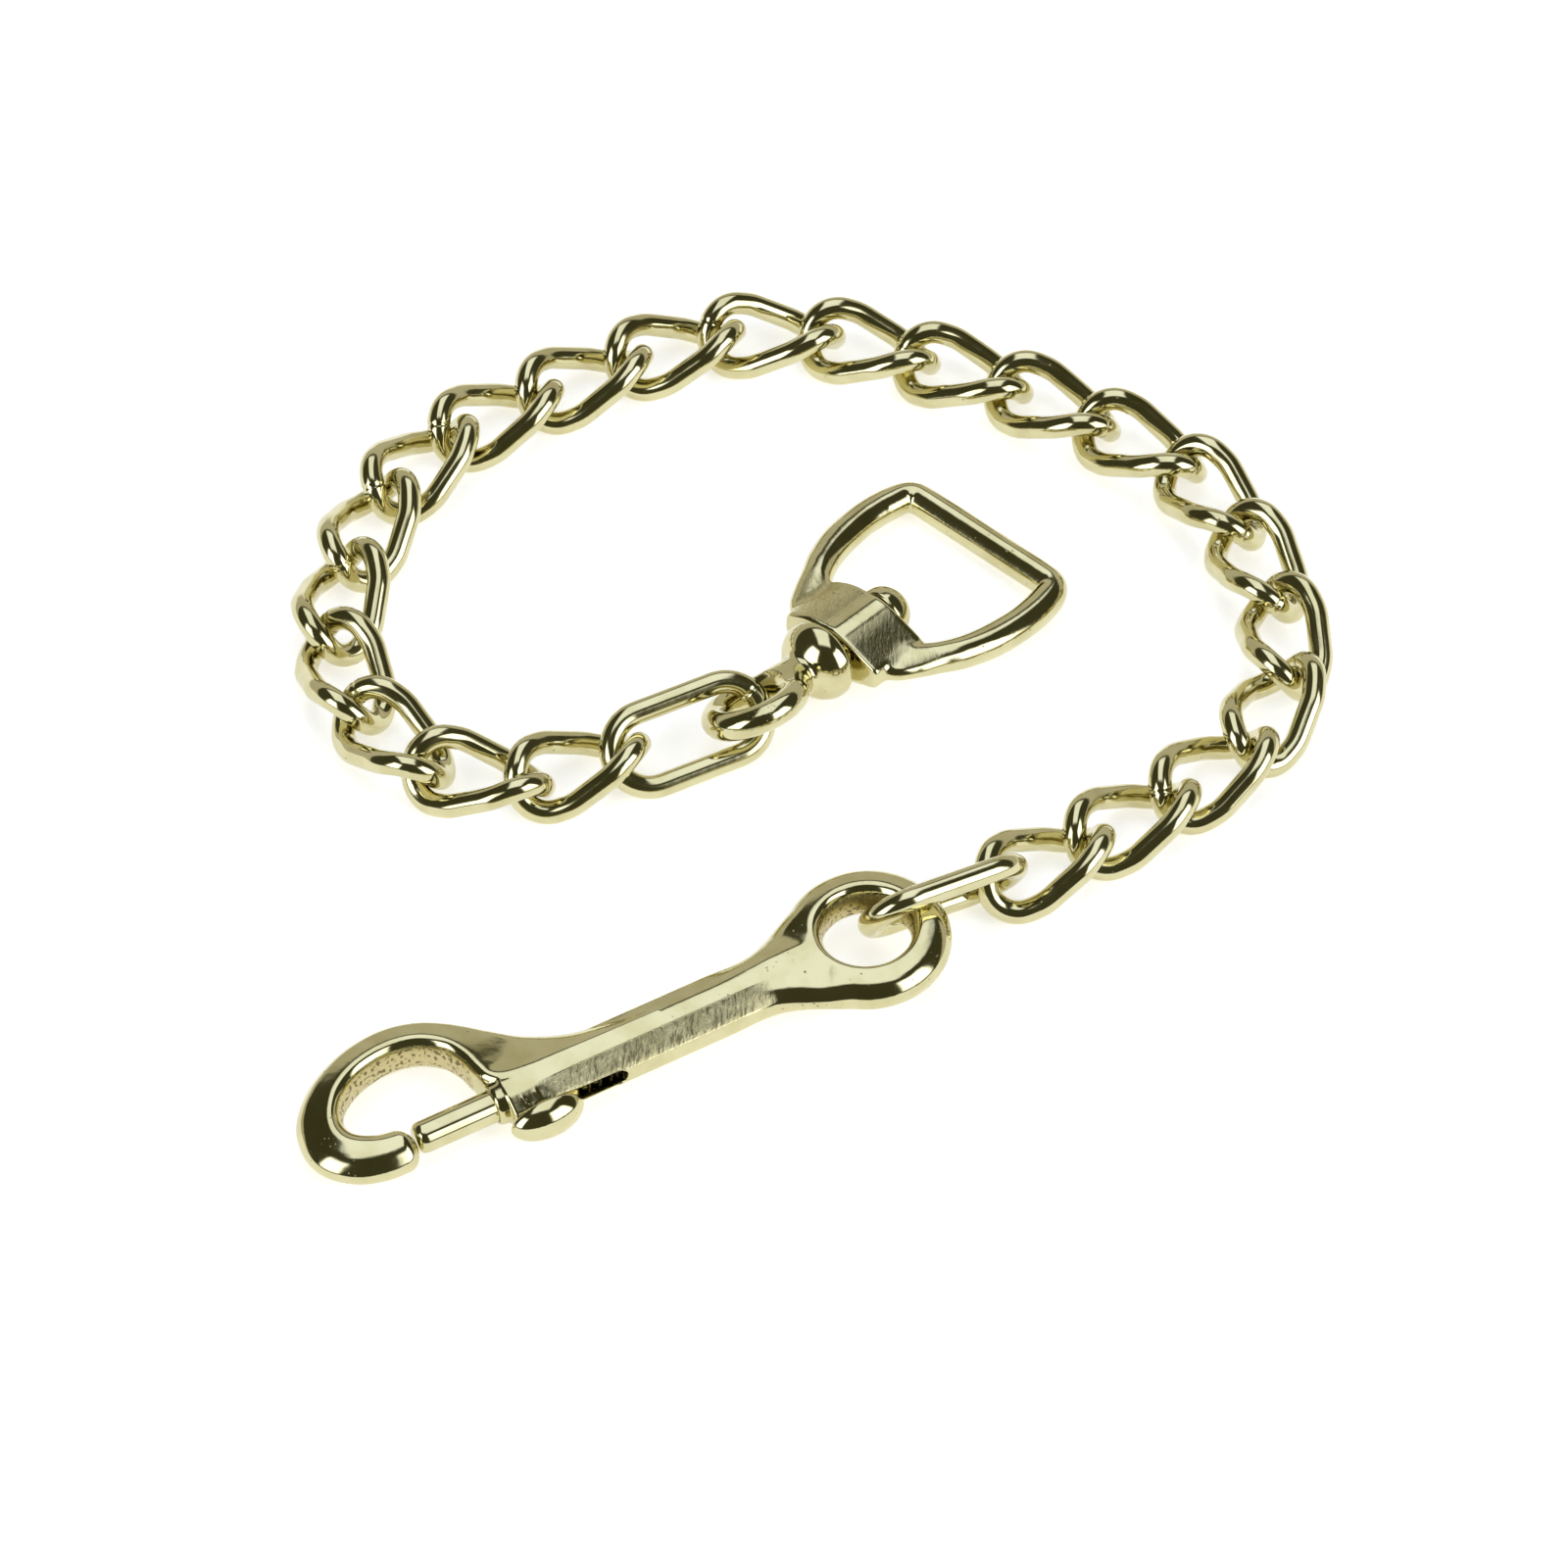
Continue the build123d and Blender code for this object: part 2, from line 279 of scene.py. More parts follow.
# ---- meshes ------------------------------------------------------------------------------------
def add_mesh(name, verts, faces, axes, at, body, node, material, wear=None):
    """Makes a smooth mesh from local mm, puts it in the row frame and ties it to its CAD node."""
    mesh = bpy.data.meshes.new(name)
    wear = wear or (lambda v: {})
    placed = (np.asarray(verts) @ axes + at) * MM
    mesh.from_pydata(placed.tolist(), [], faces)
    mesh.update()
    mesh.shade_smooth()
    for label, amount in wear(np.asarray(verts)).items():
        layer = mesh.attributes.new(label, "FLOAT", "POINT")
        layer.data.foreach_set("value", np.ascontiguousarray(amount, dtype=np.float32))
    piece = bpy.data.objects.new(name, mesh)
    bpy.context.scene.collection.objects.link(piece)
    piece.data.materials.append(material)
    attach(piece, body)
    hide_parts(node)
    return piece


def sample_grid(field, points, low, step):
    """Value and slope of a sampled field at points, by trilinear interpolation."""
    q = (points - low) / step
    i = np.clip(np.floor(q).astype(int), 0, np.array(field.shape) - 2)
    f = q - i
    corner = {}
    for dx in (0, 1):
        for dy in (0, 1):
            for dz in (0, 1):
                corner[dx, dy, dz] = field[i[:, 0] + dx, i[:, 1] + dy, i[:, 2] + dz]
    wx, wy, wz = (np.stack([1 - f[:, k], f[:, k]]) for k in range(3))
    value = sum(corner[c] * wx[c[0]] * wy[c[1]] * wz[c[2]] for c in corner)
    sign = (-1, 1)
    gx = sum(corner[c] * sign[c[0]] * wy[c[1]] * wz[c[2]] for c in corner)
    gy = sum(corner[c] * wx[c[0]] * sign[c[1]] * wz[c[2]] for c in corner)
    gz = sum(corner[c] * wx[c[0]] * wy[c[1]] * sign[c[2]] for c in corner)
    return value, np.stack([gx, gy, gz], 1) / step


def skin(shape, box, step):
    """Closed mesh of the places in a box where shape(x, y, z) is zero, pulled onto the surface."""
    low, high = (np.array(corner, float) for corner in box)
    counts = np.ceil((high - low) / step).astype(int) + 1
    x, y, z = (low[k] + step * np.arange(counts[k]) for k in range(3))
    field = shape(x[:, None, None], y[None, :, None], z[None, None, :])
    field = np.ascontiguousarray(np.broadcast_to(field, tuple(counts)), dtype=np.float32)
    grid = openvdb.FloatGrid(10.0)
    grid.copyFromArray(field)
    points, triangles, quads = grid.convertToPolygons(isovalue=0.0, adaptivity=0.0)
    points = points.astype(float) * step + low
    for _ in range(3):
        value, slope = sample_grid(field, points, low, step)
        points -= slope * (value / np.maximum((slope ** 2).sum(1), 1e-6))[:, None] * 0.8
    faces = [tuple(f[::-1]) for f in triangles.tolist()] + [tuple(f[::-1]) for f in quads.tolist()]
    return points, faces


def plan_distance(path):
    """Function giving the distance from plan points to an outline."""
    tree = KDTree(len(path))
    for number, (x, y) in enumerate(path):
        tree.insert((x, y, 0), number)
    tree.balance()

    def distance(x, y):
        out = np.empty((x.size, y.size))
        for i, px in enumerate(x.ravel()):
            for j, py in enumerate(y.ravel()):
                out[i, j] = tree.find((px, py, 0))[2]
        return out[:, :, None]

    return distance


def inside(path, x, y):
    """True at the grid points inside a closed outline."""
    px, py = path[:, 0], path[:, 1]
    qx, qy = np.roll(px, -1), np.roll(py, -1)
    flips = np.zeros((x.size, y.size + 1), int)
    for i, at in enumerate(x.ravel()):
        hit = (px > at) != (qx > at)
        height = py[hit] + (at - px[hit]) * (qy[hit] - py[hit]) / (qx[hit] - px[hit])
        np.add.at(flips[i], np.searchsorted(y.ravel(), height), 1)
    return (np.cumsum(flips, 1)[:, :-1] % 2 == 1)[:, :, None]


def tube(path, radius, sides=28, closed=True):
    """Round wire along a path. radius may differ from point to point."""
    n = len(path)
    ahead = np.roll(path, -1, 0) - np.roll(path, 1, 0)
    if not closed:
        ahead[0] = path[1] - path[0]
        ahead[-1] = path[-1] - path[-2]
    ahead /= np.linalg.norm(ahead, axis=1)[:, None]
    side = unit(np.cross(ahead[0], (0.3, 0.2, 0.9)))
    sides_at = [side]
    for k in range(1, n):
        side = side - ahead[k] * (side @ ahead[k])
        side = unit(side)
        sides_at.append(side)
    sides_at = np.array(sides_at)
    across = np.cross(ahead, sides_at)
    twist = 0.0
    if closed:
        last = sides_at[-1] - ahead[0] * (sides_at[-1] @ ahead[0])
        twist = math.atan2(last @ across[0], last @ sides_at[0])
    radius = np.broadcast_to(radius, (n,))
    angle = 2 * math.pi * np.arange(sides) / sides
    turn = angle[None, :] - twist * (np.arange(n) / n)[:, None]
    ring = (np.cos(turn)[..., None] * sides_at[:, None] + np.sin(turn)[..., None] * across[:, None])
    verts = (path[:, None] + ring * radius[:, None, None]).reshape(-1, 3)
    faces = []
    for k in range(n if closed else n - 1):
        a, b = k * sides, (k + 1) % n * sides
        for s in range(sides):
            t = (s + 1) % sides
            faces.append((a + s, a + t, b + t, b + s))
    if not closed:
        faces.append(tuple(range(sides))[::-1])
        faces.append(tuple((n - 1) * sides + s for s in range(sides)))
    return verts, faces


def rounded_loop(corners, radii, step=0.25):
    """Closed path of straight runs joined by arcs, evened out and slightly softened."""
    c = np.asarray(corners, float)
    out = []
    for k, r in enumerate(radii):
        back, ahead = unit(c[k - 1] - c[k]), unit(c[(k + 1) % len(c)] - c[k])
        half = math.acos(np.clip(back @ ahead, -1, 1)) / 2
        middle = c[k] + unit(back + ahead) * r / math.sin(half)
        first = c[k] + back * r / math.tan(half) - middle
        last = c[k] + ahead * r / math.tan(half) - middle
        sweep = math.acos(np.clip(unit(first) @ unit(last), -1, 1))
        for t in np.linspace(0, 1, 16):
            arc = (math.sin((1 - t) * sweep) * first + math.sin(t * sweep) * last) / math.sin(sweep)
            out.append(middle + arc)
    loop = resample(np.vstack(out + [out[0]]), step)[:-1]
    for _ in range(6):
        loop = loop / 2 + (np.roll(loop, 1, 0) + np.roll(loop, -1, 0)) / 4
    return loop


# ---- materials -----------------------------------------------------------------------------------
class Nodes:
    """Short ways to add and join shader nodes."""

    def __init__(self, tree):
        self.tree = tree
        tree.nodes.clear()

    def add(self, kind, **values):
        """Adds a node; names that match an input set it, others set a property."""
        node = self.tree.nodes.new(kind)
        for key, value in values.items():
            label = key.replace("_", " ")
            match = [s for s in node.inputs if s.name.lower() == label.lower()]
            if match:
                match[0].default_value = value
            else:
                setattr(node, key, value)
        return node

    def join(self, source, target):
        """Joins two sockets."""
        self.tree.links.new(source, target)

    def math(self, operation, a, b=None, clamp=False):
        """Math node with sockets or numbers as inputs."""
        node = self.add("ShaderNodeMath", operation=operation, use_clamp=clamp)
        for socket, value in zip(node.inputs, (a, b)):
            if isinstance(value, (int, float)):
                socket.default_value = value
            elif value is not None:
                self.join(value, socket)
        return node.outputs[0]

    def band(self, value, low, high, soft):
        """1 where value lies between low and high, with soft edges."""
        up = self.ramp(value, low - soft, low + soft)
        down = self.ramp(value, high - soft, high + soft)
        return self.math("SUBTRACT", up, down, True)

    def ramp(self, value, low, high):
        """Smooth 0 to 1 as value goes from low to high."""
        node = self.add("ShaderNodeMapRange", interpolation_type="SMOOTHSTEP")
        self.join(value, node.inputs["Value"])
        node.inputs["From Min"].default_value = low
        node.inputs["From Max"].default_value = high
        return node.outputs["Result"]

    def noise(self, place, scale, detail, **more):
        """Value of a noise texture."""
        node = self.add("ShaderNodeTexNoise", Scale=scale, Detail=detail, **more)
        self.join(place, node.inputs["Vector"])
        return node.outputs["Fac"]

    def mapping(self, place, scale, turn=0.0):
        """Place turned about Z and scaled."""
        node = self.add("ShaderNodeMapping")
        node.inputs["Rotation"].default_value = (0, 0, turn)
        node.inputs["Scale"].default_value = scale
        self.join(place, node.inputs["Vector"])
        return node.outputs[0]

    def mix(self, amount, first, second):
        """Colour that goes from first, a socket or a colour, to second as amount rises."""
        node = self.add("ShaderNodeMix", data_type="RGBA")
        if isinstance(first, tuple):
            node.inputs[6].default_value = (*first, 1)
        else:
            self.join(first, node.inputs[6])
        node.inputs[7].default_value = (*second, 1)
        self.join(amount, node.inputs[0])
        return node.outputs[2]


def metal(name):
    """New metallic material: its node helper, the place on the piece and its surface shader."""
    material = bpy.data.materials.new(name)
    material.use_nodes = True
    n = Nodes(material.node_tree)
    surface = n.add("ShaderNodeBsdfPrincipled", Metallic=1.0)
    n.join(surface.outputs[0], n.add("ShaderNodeOutputMaterial").inputs["Surface"])
    return material, n, n.add("ShaderNodeTexCoord").outputs["Object"], surface


def brass_plate(name, roughness, pits, ripple):
    """Bright brass plate: uneven tone, fine ripple, hairlines, pits, worn places, and an amber
    painted shade on marked cast walls.
    """
    material, n, place, surface = metal(name)
    scuff = n.add("ShaderNodeAttribute", attribute_name="scuff").outputs["Fac"]
    casting = n.add("ShaderNodeAttribute", attribute_name="casting").outputs["Fac"]

    spots = n.noise(place, 1500.0, 1.0)
    rare = n.ramp(n.noise(place, 260.0, 1.0), 0.62 - pits, 0.70 - pits)
    pit = n.math("MULTIPLY", n.ramp(spots, 0.68, 0.76), rare)
    grain = n.math("MULTIPLY", n.ramp(spots, 0.54, 0.64), casting)
    pit = n.math("MAXIMUM", pit, grain)
    slanted = n.mapping(place, (1.0, 0.22, 0.22), SCRATCH_TURN)
    scratch = n.noise(slanted, 1700.0, 5.0, Roughness=0.75)
    grime = n.math("MULTIPLY", n.ramp(scratch, 0.48, 0.62), scuff)

    tone = n.ramp(n.noise(place, 180.0, 4.0), 0.35, 0.75)
    colour = n.mix(tone, LIGHT_BRASS, DEEP_BRASS)
    # amber painted shade on steep inner walls and the collar's far shoulder
    colour = n.mix(n.math("MULTIPLY", casting, 0.75), colour, AMBER)
    colour = n.mix(n.math("MULTIPLY", n.math("MAXIMUM", pit, grime), 0.75), colour, GRIME)
    n.join(colour, surface.inputs["Base Color"])

    rough = n.math("MULTIPLY", n.noise(place, 420.0, 5.0), roughness)
    rough = n.math("ADD", rough, roughness * 0.45)
    for amount, share in ((pit, 0.3), (scuff, 0.05), (casting, 0.22)):
        rough = n.math("ADD", rough, n.math("MULTIPLY", amount, share))
    n.join(rough, surface.inputs["Roughness"])

    wave = n.math("MULTIPLY", n.noise(place, 330.0, 2.0), ripple)
    hair = n.noise(n.mapping(place, (0.25, 3.0, 3.0)), 900.0, 3.0)
    height = n.math("ADD", wave, n.math("MULTIPLY", hair, ripple * 0.12))
    height = n.math("SUBTRACT", height, n.math("MULTIPLY", pit, 0.5))
    scored = n.math("MULTIPLY", n.math("MULTIPLY", scratch, scuff), 10.0)
    bump = n.add("ShaderNodeBump", Strength=0.35, Distance=0.0001)
    n.join(n.math("ADD", height, scored), bump.inputs["Height"])
    n.join(bump.outputs[0], surface.inputs["Normal"])
    return material


def spring_steel():
    """Plain drawn spring wire, dulled by oil, its colour darkened into a painted shade of the bore it
    lies in.
    """
    material, n, place, surface = metal("spring_steel")
    grain = n.noise(place, 1200.0, 3.0)
    n.join(n.mix(grain, SHADED_STEEL_LIGHT, SHADED_STEEL_DARK), surface.inputs["Base Color"])
    n.join(n.ramp(grain, -0.2, 1.8), surface.inputs["Roughness"])
    return material


CAST = brass_plate("cast_brass_plate", 0.10, 0.06, 0.8)
TURNED = brass_plate("turned_brass_plate", 0.08, 0.0, 0.4)
WIRE = brass_plate("link_brass_plate", 0.12, -0.02, 0.6)
STEEL = spring_steel()


# ---- bolt snap -----------------------------------------------------------------------------------
def edge_part(distance, radius):
    """1 at an edge, falling to 0 at radius inside it, for rounding off a plate's rim."""
    return (radius - np.minimum(distance, radius)) / radius


def fallen_face(to_crest, top, slope, crest=FACE_CREST):
    """Half thickness of a plate whose face falls away from its rounded crest."""
    away = np.maximum(to_crest, 0)
    fall = np.sqrt(away ** 2 + crest ** 2) - crest
    return np.maximum(top - slope * fall, 1.0)


def hook_plate(x, y, z):
    """Hook and web: a crest round the opening and along the barrel, and a face that falls from it."""
    outer = smooth_curve(HOOK_OUTER)
    inner = smooth_curve(HOOK_INNER)
    end = resample(np.array([outer[-1], (-79.9, -1.0), inner[-1]]), 0.05)
    filled = inside(np.vstack([outer, end, inner[::-1], [(-36, -1)]]), x, y)
    gaps = [plan_distance(path)(x, y) for path in (outer, inner, end)]
    nearest = np.minimum(np.minimum(*gaps[:2]), gaps[2])
    to_outer, to_inner, to_end = (np.where(~filled & (gap == nearest), -gap, gap) for gap in gaps)
    far_side = np.maximum(smoothstep(y, 2.0, 12.0), smoothstep(x, -78.0, -73.0))
    rim = RIM_R[0] + (RIM_R[1] - RIM_R[0]) * smoothstep(y, 2.0, 12.0)
    edge = INNER_R[0] + (INNER_R[1] - INNER_R[0]) * far_side
    to_barrel = np.hypot(np.minimum(x - NOSE_X, 0), np.maximum(y - TOP_FACET, 0))
    to_octagon = smoothstep(x, -58.0, -37.0)
    slope = FACE_SLOPE + (FACET_SLOPE - FACE_SLOPE) * to_octagon
    crest = FACE_CREST * (1 - 0.98 * to_octagon)
    height = fallen_face(soft_min(to_inner - edge, to_barrel, 2.0), BARREL_HALF_H, slope, crest)
    around = edge_part(to_outer, rim) ** 2 + edge_part(to_inner, edge) ** 2
    around = around + edge_part(to_end, END_R) ** 2
    return (np.sqrt(around + (z / height) ** 2) - 1) * 2.4


def octagon(x, y, z):
    """Barrel with a flat top and two sloping facets each side."""
    side = SIDE_FACET - NEAR_DROP * (y < 0) * (1 - smoothstep(x, -60.0, -48.0))
    slope = (BARREL_HALF_H - side) / (BARREL_HALF_W - TOP_FACET)
    sloped = (np.abs(z) - side - slope * (BARREL_HALF_W - np.abs(y))) / np.hypot(1, slope)
    solid = soft_max(sloped, np.abs(z) - BARREL_HALF_H, 0.45)
    solid = soft_max(solid, np.abs(y) - BARREL_HALF_W, 0.7)
    marks = np.sin(3.1 * x + 2.2 * np.sin(1.1 * x + 0.5 * z) + 1.5 * z) * np.sin(1.7 * x - 1.1 * z)
    marks = marks + 0.6 * np.sin(6.1 * x + 0.9 * np.sin(2.3 * x) + 2.5 * z) * np.sin(0.9 * x + 1.0)
    marks = marks * smoothstep(x, -63.8, -62) * (1 - smoothstep(x, -25, -19))
    marks = marks * smoothstep(-y, 2.2, 2.9) * smoothstep(z, 1.8, 2.3)
    return solid + MARK_DEPTH * marks


def eye_and_neck(x, y, z):
    """Ring at the end of the barrel and the neck that widens into it."""
    arc = np.radians(np.linspace(EYE_ARC, -EYE_ARC, 600))
    ring_outer = (EYE_R + EYE_HALF_W) * np.stack([np.cos(arc), np.sin(arc)], 1)
    side = smooth_curve(NECK_NEAR)
    outer = np.vstack([side, ring_outer, (side * (1, -1))[::-1]])
    hole = np.hypot(x, y) - (EYE_R - EYE_HALF_W)
    to_outer = plan_distance(outer)(x, y) * np.where(inside(outer, x, y), 1, -1)
    crest_end = EYE_HALF_W - EYE_R - EYE_INNER_R + 0.4
    to_axis = np.hypot(np.maximum(x - crest_end, 0), np.maximum(np.abs(y) - TOP_FACET, 0))
    slope = FACE_SLOPE + (FACET_SLOPE - FACE_SLOPE) * (1 - smoothstep(x, -26.0, -12.0))
    height = fallen_face(soft_min(hole - EYE_INNER_R, to_axis, 2.0), EYE_TOP, slope)
    around = edge_part(to_outer, EYE_RIM_R) ** 2 + edge_part(hole, EYE_INNER_R) ** 2
    return (np.sqrt(around + (z / height) ** 2) - 1) * 2.4


def snap_shape(x, y, z):
    """Whole cast body of the snap."""
    to_eye = smoothstep(x, -27.0, -15.0)
    barrel = octagon(x, y, z) * (1 - to_eye) + eye_and_neck(x, y, z) * to_eye
    barrel = soft_max(barrel, MOUTH_X - x, 0.5)
    around = np.hypot(y, z)
    nose = soft_max(around - NOSE_R - 0.15 * np.minimum(x - MOUTH_X, 0), NOSE_X - x, 0.9)
    nose = np.maximum(nose, x + 60.0)
    body = np.minimum(np.minimum(barrel, hook_plate(x, y, z)), nose)
    bore = np.maximum(np.maximum(around - BORE_R, x - BORE_END_X), NOSE_X - 1 - x)
    slot_x = np.maximum(past(x, SLOT_X) + SLOT_HALF, 0)
    slot = np.maximum(np.hypot(slot_x, z) - SLOT_HALF, y)
    return soft_max(soft_max(body, -bore, 0.3), -slot, 0.3)


def snap_wear(v):
    """Tool scratches on the barrel's near facet, and on the steep inner walls rough cast grain with
    an amber painted shade.
    """
    x, y, z = v.T
    facet = smoothstep(-y, 1.5, 1.9) * smoothstep(z, 1.3, 1.8) * smoothstep(x, -60.5, -50.0)
    facet = facet * (1 - smoothstep(x, -24, -17))
    steep = 1 - smoothstep(np.abs(z), 1.9, 2.8)
    # inner walls of the hook opening and of the eye: painted shade, with rough cast grain
    opening = (x < -67.0) & (x > -88.5) & (y > 2.2) & (y < 15.4)
    eye = np.hypot(x, y) < EYE_R - EYE_HALF_W + 1.0
    return {"scuff": facet, "casting": steep * (opening | eye)}


def loop_wear(v):
    """Scratches on the collar's near shoulder, and on its far one cast grain with an amber painted
    shade.
    """
    x, y, z = v.T
    shoulder = smoothstep(x, COLLAR_X[0], COLLAR_X[0] + 1) * (1 - smoothstep(x, 28, COLLAR_X[1]))
    shoulder = shoulder * smoothstep(z, 1.0, 2.2) * smoothstep(np.abs(y), 2.0, 2.6)
    # only the far shoulder gets the amber painted shade
    return {"scuff": shoulder * np.where(y < 0, 0.16, 0.25),
            "casting": shoulder * np.where(y < 0, 0, 0.3)}


def build_snap():
    """Snap body, bolt, thumb knob and spring."""
    verts, faces = skin(snap_shape, SNAP_BOX, CELL)
    add_mesh("snap_body_cast", verts, faces, SNAP_AXES, SNAP_AT, "snap", "snap_body",
             CAST, snap_wear)

    def bolt(x, y, z):
        return soft_max(np.hypot(y, z) - BOLT_R, past(x, BOLT_X), 1.6)

    verts, faces = skin(bolt, BOLT_BOX, SMALL_CELL)
    add_mesh("snap_bolt_rod", verts, faces, SNAP_AXES, SNAP_AT, "bolt", "snap_bolt",
             TURNED)

    def knob(x, y, z):
        length, height, width = KNOB_SIZE
        dome = np.sqrt(((x - STEM_X - 0.6) / length) ** 2 + ((y - KNOB_BASE_Y) / height) ** 2
                       + (z / width) ** 2)
        dome = soft_max((dome - 1) * height, y - KNOB_BASE_Y, 0.5)
        stem = np.maximum(np.hypot(x - STEM_X, z) - STEM_R, past(y, STEM_Y))
        return soft_min(dome, stem, 0.3)

    verts, faces = skin(knob, KNOB_BOX, SMALL_CELL)
    add_mesh("thumb_knob_dome", verts, faces, SNAP_AXES, SNAP_AT, "bolt", "thumb_knob",
             TURNED)

    turns = np.linspace(0, SPRING_TURNS * 2 * math.pi, SPRING_TURNS * 40)
    start, end = SPRING_X
    coil = np.stack([start + (end - start) * turns / turns[-1], SPRING_R * np.cos(turns),
                     SPRING_R * np.sin(turns)], 1)
    verts, faces = tube(coil, SPRING_WIRE_R, 12, closed=False)
    spring = add_mesh("bolt_spring_coil", verts, faces, SNAP_AXES, SNAP_AT, "snap", "bolt_spring",
                      STEEL)
    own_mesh(spring)


# ---- swivel --------------------------------------------------------------------------------------
def swivel_shape(x, y, z):
    """Ring, bell, post and domed head."""
    roll = math.radians(RING_ROLL)
    ry = y * math.cos(roll) + z * math.sin(roll)
    rz = -y * math.sin(roll) + z * math.cos(roll)
    ring = np.hypot(np.hypot(x, ry) - RING_R, rz) - RING_WIRE_R
    around = np.hypot(y, z)
    rim, back = BELL_X
    ahead = np.where(x < rim, (rim - x) / BELL_LENGTH, (x - rim) / (back - rim + 0.15))
    power = np.where(x < rim, 2.0, 3.0)
    bell = ((np.abs(ahead) ** power + (around / BELL_R) ** power) ** (1 / power) - 1) * 4
    bell = soft_max(bell, x - back, 0.4)
    neck = np.maximum(around - NECK_R, past(x, NECK_X))
    post = np.maximum(around - POST_R, past(x, POST_X))
    dome_x = HEAD_X[0] + 1.2
    dome = np.maximum(x - dome_x, 0) / (HEAD_X[1] - dome_x)
    head = (np.hypot(dome, around / HEAD_R) - 1) * HEAD_R
    head = soft_max(head, HEAD_X[0] - x, 0.5)
    body = soft_min(soft_min(ring, neck, 2.6), bell, 0.7)
    return np.minimum(np.minimum(body, post), head)


def loop_shape(x, y, z):
    """Strap loop: arched collar, two bowed arms and a straight bar."""
    outer = mirrored(smooth_curve(LOOP_OUTER))
    arm = smooth_curve(LOOP_INNER)
    corner = resample(np.array([tuple(arm[-1]), (BAR_INNER_X, BAR_INNER_Y), (BAR_INNER_X, 0)]), 0.05)
    inner = mirrored(np.vstack([arm, corner]))
    to_outer = plan_distance(outer)(x, y) * np.where(inside(outer, x, y), 1, -1)
    to_inner = plan_distance(inner)(x, y) * np.where(inside(inner, x, y), -1, 1)
    around = edge_part(to_outer, LOOP_EDGE) ** 2 + edge_part(to_inner, LOOP_EDGE) ** 2
    height = LOOP_HALF_H - 0.8 * (1 - smoothstep(x, 22, 33))
    loop = (np.sqrt(around + (z / height) ** 2) - 1) * LOOP_HALF_H
    crown_y, crown_z = COLLAR_CROWN
    side_y, side_z = COLLAR_SIDE
    drop = (crown_z - side_z) / (side_y - crown_y)
    shoulder = (np.abs(z) - side_z - drop * (side_y - np.abs(y))) / math.hypot(1, drop)
    down = np.clip((y - crown_y) / (side_y - crown_y), 0, 1)
    shoulder = shoulder - COLLAR_BULGE * np.sin(math.pi * down)
    collar = soft_max(shoulder, np.abs(z) - crown_z, 1.2)
    collar = soft_max(collar, np.abs(y) - side_y - 0.4, 1.0)
    collar = soft_max(collar, past(x, COLLAR_X), 0.9)
    body = soft_min(loop, collar, 0.9)
    bore = np.hypot(y, z) - COLLAR_BORE
    bore = np.maximum(bore, x - COLLAR_X[1] - 1)
    return soft_max(body, -bore, 0.4)


def build_swivel():
    """Swivel eye and strap loop."""
    verts, faces = skin(swivel_shape, RING_BOX, CELL)
    add_mesh("swivel_eye_cast", verts, faces, SWIVEL_AXES, SWIVEL_AT, "swivel_eye", "swivel_eye",
             CAST)
    verts, faces = skin(loop_shape, LOOP_BOX, CELL)
    add_mesh("strap_loop_cast", verts, faces, SWIVEL_AXES, SWIVEL_AT, "strap_loop", "strap_loop",
             CAST, loop_wear)


# ---- links ---------------------------------------------------------------------------------------
def seam(path, at, depth):
    """Wire radius along a link, with the fine groove and lip of its butt joint."""
    step = np.linalg.norm(path[1] - path[0])
    k = np.arange(len(path))
    away = (k - at * len(path) + len(path) / 2) % len(path) - len(path) / 2
    away = away * step
    return WIRE_R * (1 - depth * np.exp(-(away / 0.16) ** 2) + 0.012 * np.exp(-(away / 0.9) ** 2))


def twisted_corners():
    """Corners of a twisted link's centreline, once round."""
    tilt = math.radians(BOW_TILT)
    bow = np.array([-LINK_HALF, BOW_HALF * math.cos(tilt), BOW_HALF * math.sin(tilt)])
    side = np.array([-SIDE_SHOULDER[0], SIDE_SHOULDER[1], SIDE_SHOULDER[2]])
    half = [bow, side, side * (-1, 1, -1), bow * (-1, 1, -1)]
    return half + [p * (1, -1, -1) for p in half[::-1]]


def build_links():
    """Twisted links, each a little different, and the two oval links."""
    rng = np.random.default_rng(7)
    radii = [BOW_FILLET, SIDE_FILLET, SIDE_FILLET, BOW_FILLET] * 2
    centres = {i: node_centre(f"twist_link_{i:02d}") for i in range(1, LINK_COUNT + 1)}
    turning = {int(name[5:7]): joint_place(name) for name in joints if name[:5] == "link_"}
    for i in range(1, LINK_COUNT + 1):
        along = centres[i] - turning[i - 1] if i == LINK_COUNT else turning[i] - centres[i]
        heading = math.degrees(math.atan2(along[1], along[0]))
        path = rounded_loop(twisted_corners(), radii)
        path = path + rng.normal(0, 0.05, 3) * np.sin(path[:, :1] * 0.3 + rng.uniform(0, 6))
        verts, faces = tube(path, seam(path, rng.choice([0.02, 0.52]) + rng.uniform(0, 0.02), 0.09))
        name = f"twist_link_{i:02d}"
        add_mesh(name + "_wire", verts, faces, turned_axes(heading), centres[i], name, name,
                 WIRE)
    corners = [(-OVAL_HALF, -OVAL_W, 0), (-OVAL_HALF, OVAL_W, 0), (OVAL_HALF, OVAL_W, 0),
               (OVAL_HALF, -OVAL_W, 0)]
    for name, pose in OVAL_POSES.items():
        path = rounded_loop(corners, [OVAL_W - 0.01] * 4)
        verts, faces = tube(path, seam(path, 0.60, 0.10))
        add_mesh(name + "_wire", verts, faces, turned_axes(*pose), node_centre(name), name, name,
                 WIRE)


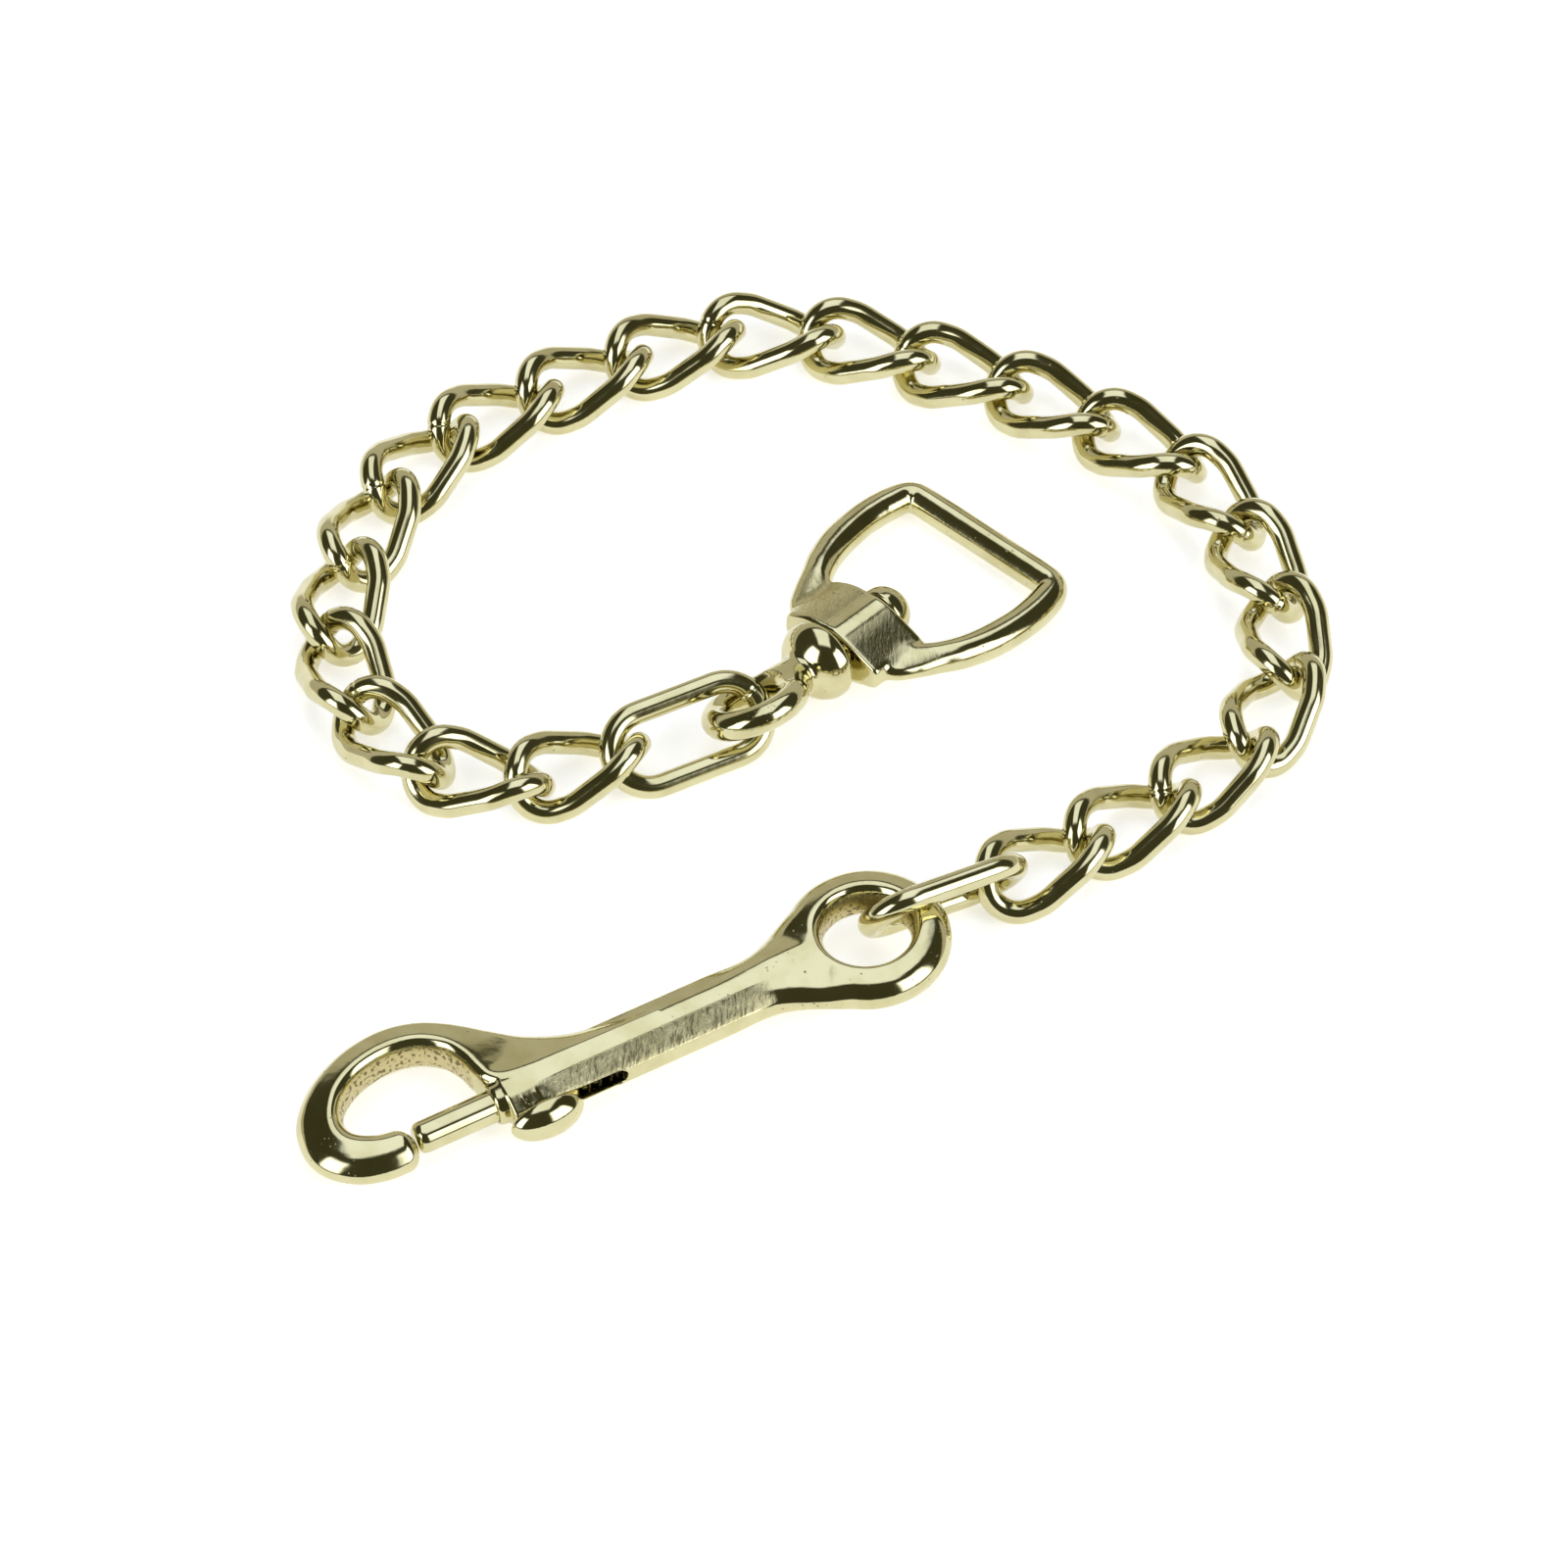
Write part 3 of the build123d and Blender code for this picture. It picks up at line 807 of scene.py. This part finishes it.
# ---- studio --------------------------------------------------------------------------------------
def room_light():
    """Studio: overhead and side soft boxes, a pale backdrop and a dark space round the camera."""
    world = bpy.data.worlds.new("studio")
    world.use_nodes = True
    bpy.context.scene.world = world
    n = Nodes(world.node_tree)
    split = n.add("ShaderNodeSeparateXYZ")
    n.join(n.add("ShaderNodeTexCoord").outputs["Generated"], split.inputs[0])
    x, y, z = split.outputs
    over = n.math("ARCTAN2", z, n.math("MULTIPLY", y, -1.0))
    azimuth = n.math("ARCTAN2", x, n.math("MULTIPLY", y, -1.0))
    height = n.math("ARCSINE", z)

    def zone(*bands):
        """1 where every value lies within its limits."""
        value = None
        for of_what, (low, high), soft in bands:
            part = n.band(of_what, low, high, soft)
            value = part if value is None else n.math("MULTIPLY", value, part)
        return value

    def degrees(limits):
        return [math.radians(limit) for limit in limits]

    soft_side, soft_height = math.radians(4), math.radians(5)
    top = zone((over, degrees(TOP_OVER), math.radians(4.5)), (x, TOP_X, 0.05))
    back = zone((over, degrees(BACK_OVER), math.radians(2.5)))
    right, left = (zone((azimuth, degrees(limits), soft_side)) for limits in SIDE_AZIMUTHS)
    boxes = n.math("MULTIPLY", n.math("ADD", right, left),
                   zone((height, degrees(SIDE_HEIGHT), soft_height)))
    emitters = ((top, TOP_LIGHT), (back, BACK_LIGHT), (boxes, SIDE_LIGHT))
    total = None
    for mask, colour in emitters:
        scaled = n.add("ShaderNodeVectorMath", operation="SCALE")
        scaled.inputs[0].default_value = colour
        n.join(mask, scaled.inputs["Scale"])
        last = total
        total = n.add("ShaderNodeVectorMath", operation="ADD")
        total.inputs[0].default_value = DARK_ROOM
        if last:
            n.join(last.outputs[0], total.inputs[0])
        n.join(scaled.outputs[0], total.inputs[1])
    background = n.add("ShaderNodeBackground", Strength=1.0)
    n.join(total.outputs[0], background.inputs["Color"])
    n.join(background.outputs[0], n.add("ShaderNodeOutputWorld").inputs["Surface"])


def floor():
    """Plain pale floor."""
    mesh = bpy.data.meshes.new("floor")
    corners = [(x * FLOOR_HALF, y * FLOOR_HALF, 0) for x, y in ((-1, -1), (1, -1), (1, 1), (-1, 1))]
    mesh.from_pydata(corners, [], [(0, 1, 2, 3)])
    plane = bpy.data.objects.new("floor", mesh)
    bpy.context.scene.collection.objects.link(plane)
    material = bpy.data.materials.new("pale_floor")
    material.use_nodes = True
    surface = material.node_tree.nodes["Principled BSDF"]
    surface.inputs["Base Color"].default_value = (*FLOOR_COLOUR, 1)
    surface.inputs["Roughness"].default_value = 0.9
    surface.inputs["Specular IOR Level"].default_value = 0.0
    surface.inputs["Emission Color"].default_value = (1, 1, 1, 1)
    surface.inputs["Emission Strength"].default_value = FLOOR_GLOW
    plane.data.materials.append(material)


def camera():
    """Camera at the viewing angle of the picture."""
    data = bpy.data.cameras.new("camera")
    data.sensor_width = SENSOR
    data.lens = SENSOR / 2 / HALF_VIEW
    cam = bpy.data.objects.new("camera", data)
    bpy.context.scene.collection.objects.link(cam)
    e = math.radians(CAMERA_ELEVATION)
    back = Vector((0, -math.cos(e), math.sin(e))) * CAMERA_DISTANCE
    cam.location = (Vector(LOOK_AT) + back) * MM
    cam.rotation_euler = (math.pi / 2 - e, 0, 0)
    bpy.context.scene.camera = cam


camera()
room_light()
floor()
build_links()
build_snap()
build_swivel()
bpy.context.scene.view_settings.view_transform = "Standard"
